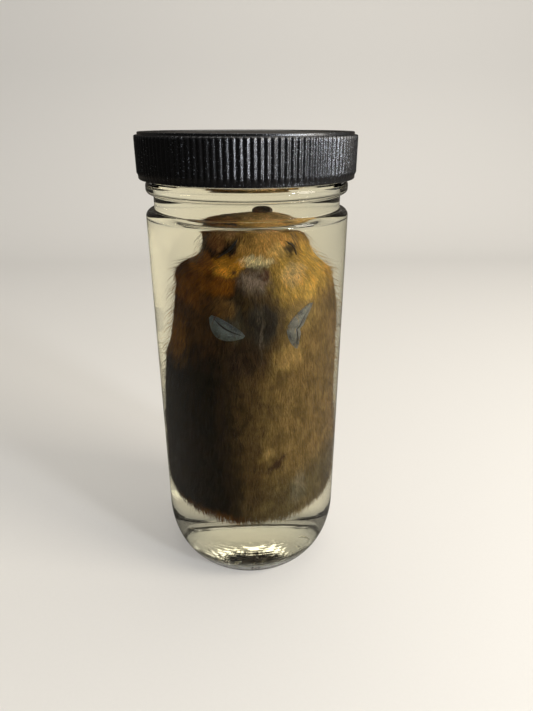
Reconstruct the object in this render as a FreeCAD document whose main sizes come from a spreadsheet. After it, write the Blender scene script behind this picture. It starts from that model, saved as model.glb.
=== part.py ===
import FreeCAD, Part
import math
import os

import Sketcher
from FreeCAD import Placement, Rotation, Vector

# A wet-specimen jar: a tall straight glass jar with a screw finish, a ribbed moulded cap
# with its liner, preserving fluid, and the small furred animal kept in it.
# The jar stands on the XY plane with its axis on Z. The animal's back faces -Y.

document = FreeCAD.newDocument("SpecimenJar")
sheet = document.addObject("Spreadsheet::Sheet", "Sizes")

SIZES = (
    # The glass jar. Its wall and its shoulder follow the neck, as the closure sets them.
    ("finish_radius", 33.5, "neck between the thread ridges"),
    ("wall_overhang", 1.1, "straight wall past the neck"),
    ("wall_thickness", 2.3, "straight wall"),
    ("floor_thickness", 4.0, "glass over the standing ring"),
    ("heel_width", 12.0, "how far the curved heel reaches in from the wall"),
    ("heel_height", 22.0, "how far the curved heel reaches up the wall"),
    ("ring_width", 4.0, "flat ring that the jar stands on"),
    ("push_up", 2.6, "rise of the hollow under the base"),
    ("floor_rise", 2.2, "rise of the glass floor in the middle"),
    ("shoulder_level", 141.4, "top of the shoulder above the table"),
    ("shoulder_rounding", 2.2, "outside of the shoulder"),
    ("throat_rounding", 1.2, "inside of the shoulder"),
    ("recess_depth", 1.8, "hollow under the transfer bead, in from the neck"),
    ("recess_height", 5.2, "shoulder to the transfer bead"),
    ("recess_rounding", 0.6, "both ends of the recess"),
    ("bead_overhang", 0.6, "transfer bead past the neck"),
    ("bead_height", 4.2, "transfer bead from edge to edge"),
    ("bead_under_rounding", 1.4, "lower edge of the bead"),
    ("bead_top_rounding", 0.4, "upper edge of the bead"),
    ("finish_height", 11.8, "transfer bead to the sealing rim"),
    ("neck_wall", 3.7, "neck to the mouth of the jar"),
    ("rim_rounding", 0.9, "both edges of the sealing rim"),
    # The screw thread, one ridge on the glass and one in the cap.
    ("thread_pitch", 4.233, "six turns to the inch"),
    ("thread_turns", 1.15, "length of each ridge, in turns"),
    ("thread_depth", 1.25, "how far each ridge stands out"),
    ("ridge_base", 2.4, "width of the glass ridge at its root"),
    ("ridge_crest", 1.2, "width of the glass ridge at its crest"),
    ("ridge_drop", 2.8, "rim to the middle of the glass ridge's upper end"),
    ("cap_ridge_base", 1.8, "width of the cap ridge at its root"),
    ("cap_ridge_crest", 0.8, "width of the cap ridge at its crest"),
    ("thread_play", 0.35, "clearance between the two ridges"),
    ("ridge_root", 0.3, "how deep a ridge's profile is let into its wall"),
    # The cap and its liner.
    ("skirt_wall", 0.95, "skirt between its inside and the feet of the ribs"),
    ("rib_depth", 0.45, "how far a rib stands out"),
    ("rib_count", 120, "ribs round the skirt"),
    ("rib_base", 1.2, "width of a rib at its foot"),
    ("rib_crest", 0.55, "width of a rib at its crest"),
    ("cap_lift_gap", 0.5, "skirt edge above the transfer bead"),
    ("band_height", 1.4, "smooth band below the ribs"),
    ("panel_thickness", 1.9, "top over the liner"),
    ("step_height", 0.9, "inset step above the ribs"),
    ("step_inset", 0.7, "how far the step lies in from the feet of the ribs"),
    ("dish_depth", 0.4, "sunk middle of the top"),
    ("dish_margin", 2.4, "raised rim round the sunk middle"),
    ("cap_rounding", 0.35, "outer edges of the cap"),
    ("liner_thickness", 1.0, "pulp liner"),
    ("liner_gap", 0.3, "liner to the skirt"),
    # The fluid.
    ("fluid_drop", 8.6, "rim to the surface of the fluid"),
    ("fluid_gap", 0.15, "fluid to the glass"),
    # The animal.
    ("animal_base", 23.0, "lowest fur above the table"),
    ("animal_shift", 1.2, "the animal's middle to the jar's axis"),
    ("trunk_width", 47.0, "flank to flank and back to belly"),
    ("trunk_length", 73.0, "lowest fur to the neck"),
    ("rump_rounding", 3.0, "round the lowest fur"),
    ("head_length", 45.0, "neck to the flat of the muzzle"),
    ("muzzle_width", 13.0, "flat of the muzzle"),
    ("nose_width", 5.0, "nose pad"),
    ("nose_height", 1.8, "nose pad above the muzzle"),
    ("ear_length", 13.5, "root to tip"),
    ("ear_width", 6.0, "across the folded ear"),
    ("ear_thickness", 0.9, "folded skin"),
    ("ear_rise", 10.5, "neck to the middle of the ears"),
    ("ear_inset", 12.5, "flank to the middle of each ear"),
    ("ear_shift", 4.0, "midpoint of the ears to the animal's middle"),
    ("left_ear_lean", 53.0, "degrees from upright"),
    ("right_ear_lean", 17.0, "degrees from upright"),
    ("forepaw_length", 13.0, "wrist to toes"),
    ("forepaw_width", 6.5, "across the toes"),
    ("forepaw_inset", 15.5, "flank to the middle of each forepaw"),
    ("forepaw_drop", 9.0, "neck to the middle of the forepaws"),
    ("hind_foot_length", 19.0, "heel to toes"),
    ("hind_foot_width", 7.5, "across the toes"),
    ("hind_foot_inset", 10.5, "flank to the middle of each hind foot"),
    ("hind_foot_rise", 18.0, "lowest fur to the middle of the hind feet"),
    ("paw_thickness", 2.6, "paws, from the fur out"),
    ("skin_gap", 0.3, "clearance round the fur, the ears and the paws"),
)

for row, (alias, number, note) in enumerate(SIZES, start=1):
    sheet.set(f"A{row}", alias)
    sheet.set(f"B{row}", str(number))
    sheet.set(f"C{row}", note)
    sheet.setAlias(f"B{row}", alias)
document.recompute()


def size(alias):
    """Return one driving dimension from the sheet, in millimetres, degrees or a count."""
    return float(getattr(sheet, alias))


def value(expression):
    """Return what an expression of the sheet's dimensions comes to."""
    result = sheet.evalExpression(expression)
    return float(getattr(result, "Value", result))


# Levels and radii that pieces share, as expressions of the sheet.
BODY_RADIUS = "(Sizes.finish_radius + Sizes.wall_overhang)"
RECESS_RADIUS = "(Sizes.finish_radius - Sizes.recess_depth)"
BEAD_RADIUS = "(Sizes.finish_radius + Sizes.bead_overhang)"
BORE_RADIUS = "(Sizes.finish_radius - Sizes.neck_wall)"
INSIDE_RADIUS = f"({BODY_RADIUS} - Sizes.wall_thickness)"
RING_OUTSIDE = f"({BODY_RADIUS} - Sizes.heel_width)"
RING_INSIDE = f"({RING_OUTSIDE} - Sizes.ring_width)"
INSIDE_HEEL_WIDTH = "(Sizes.heel_width - Sizes.wall_thickness / 2)"
INSIDE_HEEL_HEIGHT = "(Sizes.heel_height - Sizes.floor_thickness)"
THROAT_LEVEL = "(Sizes.shoulder_level - Sizes.wall_thickness)"
BEAD_UNDERSIDE = "(Sizes.shoulder_level + Sizes.recess_height)"
BEAD_TOP = f"({BEAD_UNDERSIDE} + Sizes.bead_height)"
RIM_LEVEL = f"({BEAD_TOP} + Sizes.finish_height)"
FLUID_LEVEL = f"({RIM_LEVEL} - Sizes.fluid_drop)"
SKIRT_EDGE = f"({BEAD_TOP} + Sizes.cap_lift_gap)"
SKIRT_INSIDE = "(Sizes.finish_radius + Sizes.thread_depth + Sizes.thread_play)"
RIB_FOOT = f"({SKIRT_INSIDE} + Sizes.skirt_wall)"
RIB_CREST = f"({RIB_FOOT} + Sizes.rib_depth)"
PANEL_UNDERSIDE = f"({RIM_LEVEL} + Sizes.liner_thickness)"
CAP_TOP = f"({PANEL_UNDERSIDE} + Sizes.panel_thickness)"
RIB_TOP = f"({CAP_TOP} - Sizes.step_height)"
NECK_RIDGE_START = f"({RIM_LEVEL} - Sizes.ridge_drop - Sizes.thread_pitch * Sizes.thread_turns)"
RIDGE_OFFSET = "((Sizes.ridge_base + Sizes.cap_ridge_crest) / 2 + Sizes.thread_play)"
TRUNK_RADIUS = "(Sizes.trunk_width / 2)"
NECK_LEVEL = "(Sizes.animal_base + Sizes.trunk_length)"
MUZZLE_LEVEL = f"({NECK_LEVEL} + Sizes.head_length)"

# The sketch's own origin and axes, as Sketcher numbers them.
ORIGIN = (-1, 1)
LEVEL_AXIS = -1
UPRIGHT_AXIS = -2
# A point nearer to an axis than this lies on it.
ON_AXIS = 1e-6

# Straight steps that a rounding is drawn with, by its size.
SMALL_STEPS = 1
ROUNDING_STEPS = 2
HEEL_STEPS = 4
DOME_STEPS = 2


def new_body(label):
    """Add an empty PartDesign body that carries its node's name."""
    body = document.addObject("PartDesign::Body", label)
    body.Label = label
    return body


def new_sketch(body, name, role):
    """Add a sketch to a body, flat on one of the body's own origin planes."""
    sketch = body.newObject("Sketcher::SketchObject", name)
    plane = next(item for item in body.Origin.OriginFeatures if item.Role == role)
    sketch.AttachmentSupport = [(plane, "")]
    sketch.MapMode = "FlatFace"
    return sketch


def hold(sketch, kind, axis, point, expression):
    """Tie one coordinate of a sketch point to the sheet, on whichever side it lies."""
    number = value(expression)
    if abs(number) < ON_AXIS:
        sketch.addConstraint(Sketcher.Constraint("PointOnObject", *point, axis))
        return
    if number < 0:
        places = (*point, *ORIGIN)
        expression = f"-1 * ({expression})"
    else:
        places = (*ORIGIN, *point)
    index = sketch.addConstraint(Sketcher.Constraint(kind, *places, abs(number)))
    sketch.setExpression(f"Constraints[{index}]", expression)


def draw_polygon(sketch, corners):
    """Draw a closed outline with every (across, up) corner tied to the sheet."""
    points = [Vector(value(across), value(up), 0) for across, up in corners]
    for start, end in zip(points, points[1:] + points[:1]):
        sketch.addGeometry(Part.LineSegment(start, end))
    for index, (across, up) in enumerate(corners):
        line_before = (index - 1) % len(corners)
        sketch.addConstraint(Sketcher.Constraint("Coincident", line_before, 2, index, 1))
        hold(sketch, "DistanceX", UPRIGHT_AXIS, (index, 1), across)
        hold(sketch, "DistanceY", LEVEL_AXIS, (index, 1), up)


def round_corner(centre, reach, first_angle, last_angle, steps=ROUNDING_STEPS):
    """Return outline corners along a quarter of an oval.

    The centre and the reach are (radius, level) expressions, and the angles are in
    degrees from the direction away from the axis.
    """
    corners = []
    for step in range(steps + 1):
        angle = math.radians(first_angle + (last_angle - first_angle) * step / steps)
        across = round(math.cos(angle), 6)
        up = round(math.sin(angle), 6)
        radius = f"{centre[0]} + {across} * {reach[0]}"
        level = f"{centre[1]} + {up} * {reach[1]}"
        corners.append((radius, level))
    return corners


def round_edge(radius, level, turn, first_angle, steps=ROUNDING_STEPS):
    """Return the quarter circle that rounds one edge, from its centre's radius and level.

    A positive step of angle turns to the left as the outline runs, so an edge that turns
    the other way is given its last angle first.
    """
    return round_corner((radius, level), (turn, turn), first_angle, first_angle + 90, steps)


def round_hollow(radius, level, turn, first_angle, steps=ROUNDING_STEPS):
    """Return the quarter circle that rounds one inward corner of the outline."""
    return round_corner((radius, level), (turn, turn), first_angle, first_angle - 90, steps)


def revolve_outline(body, name, corners):
    """Turn an outline round the axis as the body's first solid."""
    sketch = new_sketch(body, f"{name}_outline", "XZ_Plane")
    draw_polygon(sketch, corners)
    document.recompute()
    turned = body.newObject("PartDesign::Revolution", f"{name}_turned")
    turned.Profile = sketch
    turned.ReferenceAxis = (sketch, ["V_Axis"])
    turned.Angle = 360
    document.recompute()


def add_thread_ridge(body, name, wall, crest, start, base_width, crest_width):
    """Add one right-hand helical ridge between the wall's and the crest's radii."""
    sketch = new_sketch(body, f"{name}_profile", "XZ_Plane")
    draw_polygon(
        sketch,
        (
            (wall, f"{start} - {base_width} / 2"),
            (crest, f"{start} - {crest_width} / 2"),
            (crest, f"{start} + {crest_width} / 2"),
            (wall, f"{start} + {base_width} / 2"),
        ),
    )
    document.recompute()
    ridge = body.newObject("PartDesign::AdditiveHelix", name)
    ridge.Profile = sketch
    ridge.ReferenceAxis = (sketch, ["V_Axis"])
    ridge.Mode = "pitch-turns-angle"
    ridge.Angle = 0
    ridge.LeftHanded = False
    ridge.setExpression("Pitch", "Sizes.thread_pitch")
    ridge.setExpression("Turns", "Sizes.thread_turns")
    document.recompute()


def inside_outline(gap):
    """Return the jar's inside from the floor's middle up to the mouth, less a gap."""
    wall = f"({INSIDE_RADIUS} - {gap})"
    throat = f"({THROAT_LEVEL} - {gap})"
    bore = f"({BORE_RADIUS} - {gap})"
    floor = f"(Sizes.floor_thickness + {gap})"
    turn = "Sizes.throat_rounding"
    heel_centre = (f"{wall} - {INSIDE_HEEL_WIDTH}", f"{floor} + {INSIDE_HEEL_HEIGHT}")
    heel_reach = (INSIDE_HEEL_WIDTH, INSIDE_HEEL_HEIGHT)
    return [
        *round_corner(("0", floor), (RING_INSIDE, "Sizes.floor_rise"), 90, 0, DOME_STEPS),
        *round_corner(heel_centre, heel_reach, -90, 0, HEEL_STEPS),
        *round_edge(f"{wall} - {turn}", f"{throat} - {turn}", turn, 0),
        *round_hollow(f"{bore} + {turn}", f"{throat} + {turn}", turn, 270),
    ]


def outside_outline():
    """Return the jar's outside from the middle of the base up to the inside of the rim."""
    heel = ("Sizes.heel_width", "Sizes.heel_height")
    shoulder = "Sizes.shoulder_rounding"
    recess = "Sizes.recess_rounding"
    under = "Sizes.bead_under_rounding"
    top = "Sizes.bead_top_rounding"
    rim = "Sizes.rim_rounding"
    recess_axis = f"{RECESS_RADIUS} + {recess}"
    rim_centre = f"{RIM_LEVEL} - {rim}"
    return [
        *round_corner(("0", "0"), (RING_INSIDE, "Sizes.push_up"), 90, 0, DOME_STEPS),
        *round_corner((RING_OUTSIDE, "Sizes.heel_height"), heel, -90, 0, HEEL_STEPS),
        *round_edge(f"{BODY_RADIUS} - {shoulder}", f"Sizes.shoulder_level - {shoulder}", shoulder, 0),
        *round_hollow(recess_axis, f"Sizes.shoulder_level + {recess}", recess, 270, SMALL_STEPS),
        *round_hollow(recess_axis, f"{BEAD_UNDERSIDE} - {recess}", recess, 180, SMALL_STEPS),
        *round_edge(f"{BEAD_RADIUS} - {under}", f"{BEAD_UNDERSIDE} + {under}", under, -90),
        *round_edge(f"{BEAD_RADIUS} - {top}", f"{BEAD_TOP} - {top}", top, 0, SMALL_STEPS),
        ("Sizes.finish_radius", BEAD_TOP),
        *round_edge(f"Sizes.finish_radius - {rim}", rim_centre, rim, 0),
        *round_edge(f"{BORE_RADIUS} + {rim}", rim_centre, rim, 90),
    ]


def build_glass_jar():
    """Blown glass jar: push-up base, oval heel, shoulder, recess, bead and threaded finish."""
    body = new_body("glass_jar")
    revolve_outline(body, "jar", outside_outline() + inside_outline("0")[::-1])
    add_thread_ridge(
        body,
        "neck_ridge",
        "(Sizes.finish_radius - Sizes.ridge_root)",
        "(Sizes.finish_radius + Sizes.thread_depth)",
        NECK_RIDGE_START,
        "Sizes.ridge_base",
        "Sizes.ridge_crest",
    )
    return body


def build_screw_cap():
    """Moulded cap: stepped and dished top, ribbed skirt, smooth band and inner ridge."""
    body = new_body("screw_cap")
    step_radius = f"({RIB_FOOT} - Sizes.step_inset)"
    dish_radius = f"({step_radius} - Sizes.dish_margin)"
    dish_level = f"({CAP_TOP} - Sizes.dish_depth)"
    edge = "Sizes.cap_rounding"
    outline = [
        ("0", PANEL_UNDERSIDE),
        (SKIRT_INSIDE, PANEL_UNDERSIDE),
        (SKIRT_INSIDE, SKIRT_EDGE),
        *round_edge(f"{RIB_FOOT} - {edge}", f"{SKIRT_EDGE} + {edge}", edge, -90, SMALL_STEPS),
        (RIB_FOOT, RIB_TOP),
        (step_radius, RIB_TOP),
        *round_edge(f"{step_radius} - {edge}", f"{CAP_TOP} - {edge}", edge, 0, SMALL_STEPS),
        (dish_radius, CAP_TOP),
        (dish_radius, dish_level),
        ("0", dish_level),
    ]
    revolve_outline(body, "cap", outline)
    add_thread_ridge(
        body,
        "cap_ridge",
        f"({SKIRT_INSIDE} + Sizes.ridge_root)",
        "(Sizes.finish_radius + Sizes.thread_play)",
        f"({NECK_RIDGE_START} - {RIDGE_OFFSET})",
        "Sizes.cap_ridge_base",
        "Sizes.cap_ridge_crest",
    )
    add_ribs(body)
    return body


def add_ribs(body):
    """Stand one upright grip rib on the skirt and repeat it all the way round."""
    sketch = new_sketch(body, "rib_profile", "XY_Plane")
    foot = f"({RIB_FOOT} - Sizes.ridge_root)"
    draw_polygon(
        sketch,
        (
            (foot, "-1 * Sizes.rib_base / 2"),
            (RIB_FOOT, "-1 * Sizes.rib_base / 2"),
            (RIB_CREST, "-1 * Sizes.rib_crest / 2"),
            (RIB_CREST, "Sizes.rib_crest / 2"),
            (RIB_FOOT, "Sizes.rib_base / 2"),
            (foot, "Sizes.rib_base / 2"),
        ),
    )
    sketch.setExpression("AttachmentOffset.Base.z", f"{SKIRT_EDGE} + Sizes.band_height")
    document.recompute()
    rib = body.newObject("PartDesign::Pad", "rib")
    rib.Profile = sketch
    rib.setExpression("Length", f"{RIB_TOP} - {SKIRT_EDGE} - Sizes.band_height")
    document.recompute()
    ribs = body.newObject("PartDesign::PolarPattern", "ribs")
    ribs.Originals = [rib]
    ribs.Axis = (sketch, ["N_Axis"])
    ribs.Angle = 360
    ribs.setExpression("Occurrences", "Sizes.rib_count")
    body.Tip = ribs
    document.recompute()


def build_cap_liner():
    """Pulp disc between the cap's panel and the glass rim."""
    liner = document.addObject("Part::Cylinder", "cap_liner")
    liner.Label = "cap_liner"
    liner.setExpression("Radius", f"{SKIRT_INSIDE} - Sizes.liner_gap")
    liner.setExpression("Height", "Sizes.liner_thickness")
    liner.setExpression("Placement.Base.z", RIM_LEVEL)
    document.recompute()
    return liner


# The head's outline from the neck to the muzzle: (1 - share ** first) ** second.
HEAD_POWERS = (2.35, 0.88)
HEAD_STEPS = 5


def build_form(label, outline):
    """Turn one part of the animal round its own upright axis, beside the jar's."""
    body = new_body(label)
    revolve_outline(body, label, outline)
    body.setExpression("Placement.Base.x", "Sizes.animal_shift")
    document.recompute()
    return body


def build_trunk(label, growth="0"):
    """Build the trunk, or the hollow round it when grown."""
    radius = f"({TRUNK_RADIUS} + {growth})"
    base = f"(Sizes.animal_base - {growth})"
    turn = "Sizes.rump_rounding"
    outline = [
        ("0", base),
        *round_edge(f"{radius} - {turn}", f"{base} + {turn}", turn, -90),
        (radius, NECK_LEVEL),
        ("0", NECK_LEVEL),
    ]
    return build_form(label, outline)


def build_head(label, growth="0"):
    """Build the head from the neck to the flat of the muzzle, or a grown copy of it."""
    muzzle = "(Sizes.muzzle_width / 2)"
    outline = [("0", NECK_LEVEL)]
    for step in range(HEAD_STEPS + 1):
        share = step / HEAD_STEPS
        fullness = round((1 - share ** HEAD_POWERS[0]) ** HEAD_POWERS[1], 5)
        radius = f"{muzzle} + {fullness} * ({TRUNK_RADIUS} - {muzzle}) + {growth}"
        outline.append((radius, f"{NECK_LEVEL} + {round(share, 5)} * (Sizes.head_length + {growth})"))
    outline.append(("0", f"{MUZZLE_LEVEL} + {growth}"))
    return build_form(label, outline)


def build_nose(label, growth="0"):
    """Build the nose pad on the flat of the muzzle, or the hollow round it when grown."""
    reach = (f"(Sizes.nose_width / 2 + {growth})", f"(Sizes.nose_height + {growth})")
    outline = [("0", MUZZLE_LEVEL), *round_corner(("0", MUZZLE_LEVEL), reach, 0, 90)]
    return build_form(label, outline)


def new_feature(label, shape):
    """Add a finished shape to the document under its node's name."""
    feature = document.addObject("Part::Feature", label)
    feature.Label = label
    feature.Shape = shape
    feature.Placement = Placement(Vector(0, 0, 0), Rotation())
    return feature


# A folded ear's outline is a leaf: its width follows sin ** LEAF_POWER along its length.
LEAF_POWER = 1.3
LEAF_STEPS = 7
# A paw's outline, as shares of its width and its length.
WRIST_SHARE = 0.32
PALM_LEVEL = 0.6
TOE_GAP_LEVEL = 0.72
TOE_TIP_SHARE = 0.25
TOE_COUNT = 4


def leaf_outline(length, width):
    """Return the corners of an upright leaf about its own middle."""
    turns = [math.pi * step / LEAF_STEPS for step in range(LEAF_STEPS + 1)]
    right = [(width / 2 * math.sin(turn) ** LEAF_POWER, -length / 2 * math.cos(turn)) for turn in turns]
    left = [(-across, up) for across, up in right[-2:0:-1]]
    return right + left


def paw_outline(length, width):
    """Return the corners of an upright paw about its own middle, with its toes at the top."""
    corners = [(WRIST_SHARE * width, 0.0), (width / 2, PALM_LEVEL * length)]
    toe_width = width / TOE_COUNT
    for toe in range(TOE_COUNT):
        middle = width / 2 - (toe + 0.5) * toe_width
        tip = TOE_TIP_SHARE * toe_width
        corners += [(middle + tip, length), (middle - tip, length)]
        if toe < TOE_COUNT - 1:
            corners.append((middle - toe_width / 2, TOE_GAP_LEVEL * length))
    corners += [(-width / 2, PALM_LEVEL * length), (-WRIST_SHARE * width, 0.0)]
    return [(across, up - length / 2) for across, up in corners]


def punch(outline, middle, lean, facing):
    """Return a straight bar of an outline that reaches out through the fur.

    The lean is in degrees about the bar, and it faces the back (-1) or the belly (+1).
    """
    corners = [Vector(across, 0, up) for across, up in outline]
    face = Part.Face(Part.makePolygon(corners + corners[:1]))
    face.rotate(Vector(0, 0, 0), Vector(0, 1, 0), lean)
    face.translate(middle)
    return face.extrude(Vector(0, facing * size("trunk_width"), 0))


def ear_places():
    """Return each ear's name, with its middle and its lean."""
    middle = size("animal_shift") + size("ear_shift")
    level = value(NECK_LEVEL) + size("ear_rise")
    reach = size("trunk_width") / 2 - size("ear_inset")
    return [
        ("left_ear", Vector(middle - reach, 0, level), -size("left_ear_lean")),
        ("right_ear", Vector(middle + reach, 0, level), size("right_ear_lean")),
    ]


def build_ears():
    """Fold both ears down on the back of the head, clear of the fur."""
    outside = build_head("ear_outside", "(Sizes.skin_gap + Sizes.ear_thickness)")
    inside = build_head("ear_inside", "Sizes.skin_gap")
    skin = outside.Shape.cut(inside.Shape)
    outline = leaf_outline(size("ear_length"), size("ear_width"))
    return [
        new_feature(label, skin.common(punch(outline, middle, lean, -1)))
        for label, middle, lean in ear_places()
    ]


# Degrees that a paw is turned by: the toes of the forepaws hang down.
TOES_UP = 0
TOES_DOWN = 180


def paw_places():
    """Return each paw's name, with its middle, its lean, its length and its width."""
    fore_level = value(NECK_LEVEL) - size("forepaw_drop")
    hind_level = size("animal_base") + size("hind_foot_rise")
    kinds = (
        ("forepaw", "forepaw_inset", fore_level, TOES_DOWN, "forepaw_length", "forepaw_width"),
        ("hind_foot", "hind_foot_inset", hind_level, TOES_UP, "hind_foot_length", "hind_foot_width"),
    )
    places = []
    for side_name, side in (("left", -1), ("right", 1)):
        for kind, inset, level, lean, length, width in kinds:
            across = size("animal_shift") + side * (size("trunk_width") / 2 - size(inset))
            label = f"{side_name}_{kind}"
            places.append((label, Vector(across, 0, level), lean, size(length), size(width)))
    return places


def belly_skin(inside, outside):
    """Return the upright tube between two distances from the trunk's middle."""
    height = value(NECK_LEVEL) - size("animal_base")
    foot = Vector(size("animal_shift"), 0, size("animal_base"))
    return Part.makeCylinder(outside, height, foot).cut(Part.makeCylinder(inside, height, foot))


def build_paws():
    """Lay the four paws on the belly, clear of the fur."""
    fur = size("trunk_width") / 2 + size("skin_gap")
    skin = belly_skin(fur, fur + size("paw_thickness"))
    return [
        new_feature(label, skin.common(punch(paw_outline(length, width), middle, lean, 1)))
        for label, middle, lean, length, width in paw_places()
    ]


def paw_hollows():
    """Return the pockets that the paws take up in the fluid."""
    gap = size("skin_gap")
    fur = size("trunk_width") / 2
    skin = belly_skin(fur, fur + size("paw_thickness") + 2 * gap)
    pockets = []
    for _, middle, lean, length, width in paw_places():
        half_width = width / 2 + gap
        half_length = length / 2 + gap
        outline = [
            (-half_width, -half_length),
            (half_width, -half_length),
            (half_width, half_length),
            (-half_width, half_length),
        ]
        pockets.append(skin.common(punch(outline, middle, lean, 1)))
    return pockets


def build_animal():
    """The furred animal: trunk, head, nose pad, folded ears and four paws."""
    furred = [build_trunk("specimen_trunk"), build_head("specimen_head"), build_nose("nose_pad")]
    return furred + build_ears() + build_paws()


def build_fluid():
    """Preserving fluid: the jar's inside up to the fluid's surface, less the animal."""
    filling = new_body("fluid_filling")
    revolve_outline(
        filling,
        "filling",
        [
            *inside_outline("Sizes.fluid_gap"),
            (f"{BORE_RADIUS} - Sizes.fluid_gap", FLUID_LEVEL),
            ("0", FLUID_LEVEL),
        ],
    )
    hollow = build_trunk("trunk_hollow", "Sizes.skin_gap").Shape
    ear_room = "(2 * Sizes.skin_gap + Sizes.ear_thickness)"
    hollow = hollow.fuse(build_head("head_hollow", ear_room).Shape)
    hollow = hollow.fuse(build_nose("nose_hollow", "Sizes.skin_gap").Shape)
    for pocket in paw_hollows():
        hollow = hollow.fuse(pocket)
    fluid = document.addObject("Part::Cut", "preserving_fluid")
    fluid.Label = "preserving_fluid"
    fluid.Base = filling
    fluid.Tool = new_feature("animal_hollow", hollow)
    document.recompute()
    return fluid


def check_document():
    """Stop if any object failed to recompute."""
    for item in document.Objects:
        if "Invalid" in item.State or "Error" in item.State:
            raise RuntimeError(f"{item.Label} did not recompute: {item.State}")


def check_piece(piece):
    """Stop unless a piece is one valid closed solid."""
    shape = piece.Shape
    if shape.isNull() or not shape.isValid():
        raise RuntimeError(f"{piece.Label} has no valid shape")
    if len(shape.Solids) != 1 or shape.Volume <= 0:
        raise RuntimeError(f"{piece.Label} is {len(shape.Solids)} solids of {shape.Volume} mm3")


def main():
    """Build every piece, check them all and write one STEP file each."""
    pieces = [build_glass_jar(), build_screw_cap(), build_cap_liner()]
    pieces.extend(build_animal())
    pieces.append(build_fluid())
    document.recompute()
    check_document()
    for piece in pieces:
        check_piece(piece)
    os.makedirs("parts", exist_ok=True)
    for piece in pieces:
        piece.Shape.exportStep(f"parts/{piece.Label}.step")
        box = piece.Shape.BoundBox
        print(f"{piece.Label}: {piece.Shape.Volume:.0f} mm3, {box.ZMin:.2f} to {box.ZMax:.2f}")


main()
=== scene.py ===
import logging
import math
from dataclasses import dataclass
from enum import Enum
from functools import partial
from typing import Callable, Mapping, Optional, Sequence, Union

import bpy
import numpy as np
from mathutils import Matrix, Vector


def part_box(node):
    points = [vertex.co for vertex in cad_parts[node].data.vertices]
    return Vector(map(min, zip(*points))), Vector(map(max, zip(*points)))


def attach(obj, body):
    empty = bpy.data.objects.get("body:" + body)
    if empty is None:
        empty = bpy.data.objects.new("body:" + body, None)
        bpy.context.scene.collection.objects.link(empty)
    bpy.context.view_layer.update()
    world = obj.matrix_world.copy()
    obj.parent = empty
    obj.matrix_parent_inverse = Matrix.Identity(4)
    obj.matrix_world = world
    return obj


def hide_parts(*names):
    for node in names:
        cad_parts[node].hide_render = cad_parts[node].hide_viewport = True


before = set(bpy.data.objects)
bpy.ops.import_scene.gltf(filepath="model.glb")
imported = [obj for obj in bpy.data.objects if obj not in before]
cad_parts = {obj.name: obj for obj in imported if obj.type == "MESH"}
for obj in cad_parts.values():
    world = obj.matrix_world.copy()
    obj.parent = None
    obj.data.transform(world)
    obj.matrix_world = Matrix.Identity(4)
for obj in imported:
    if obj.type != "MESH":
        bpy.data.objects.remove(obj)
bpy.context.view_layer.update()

# A wet-specimen jar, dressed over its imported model: clear glass and preserving fluid that
# bend the light, a small furred animal in the fluid, and a ribbed moulded cap.
# Lengths in this script are millimetres until a mesh is made, which is in metres. The
# studio's own lengths are metres.

MM = 0.001
SEED = 20
log = logging.getLogger("specimen_jar")

Colour = tuple[float, float, float, float]
Place = tuple[float, float, float]
Pair = tuple[float, float]
Feed = Union[bpy.types.NodeSocket, float, str, Sequence[float]]
Feeds = Mapping[Union[str, int], Feed]
Array = np.ndarray
Chance = np.random.Generator
Material = bpy.types.Material


class Body(Enum):
    """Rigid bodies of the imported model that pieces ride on."""

    JAR = "jar"
    CAP = "cap"


class Slot(Enum):
    """Material slots of the record."""

    GLASS = "clear_glass"
    PLASTIC = "black_plastic"
    FLUID = "fluid"
    FUR = "fur"
    SKIN = "bare_skin"


# --- Shader nodes ---


def linear(code: str) -> Colour:
    """Turn a colour as it is seen on a screen into the linear colour that shaders take.

    Args:
        code: Six hexadecimal digits, red, green and blue, such as "c8b090".

    Returns:
        Linear red, green, blue and an alpha of 1.
    """
    parts = [int(code[start : start + 2], 16) / 255 for start in (0, 2, 4)]
    lit = [part / 12.92 if part <= 0.04045 else ((part + 0.055) / 1.055) ** 2.4 for part in parts]
    return (*lit, 1.0)


def add_node(
    tree: bpy.types.NodeTree, kind: str, feeds: Feeds, **settings: object
) -> bpy.types.NodeOutputs:
    """Add one node, set its properties, and fill or link its sockets.

    Args:
        tree: The node tree.
        kind: The node's type after "ShaderNode", such as "TexNoise".
        feeds: A constant, a colour code or another node's output, by socket name or number.
        settings: Property values by name.

    Returns:
        The new node's outputs.
    """
    node = tree.nodes.new("ShaderNode" + kind)
    for name, setting in settings.items():
        setattr(node, name, setting)
    for socket, feed in feeds.items():
        if isinstance(feed, bpy.types.NodeSocket):
            tree.links.new(feed, node.inputs[socket])
        else:
            node.inputs[socket].default_value = linear(feed) if isinstance(feed, str) else feed
    return node.outputs


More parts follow.
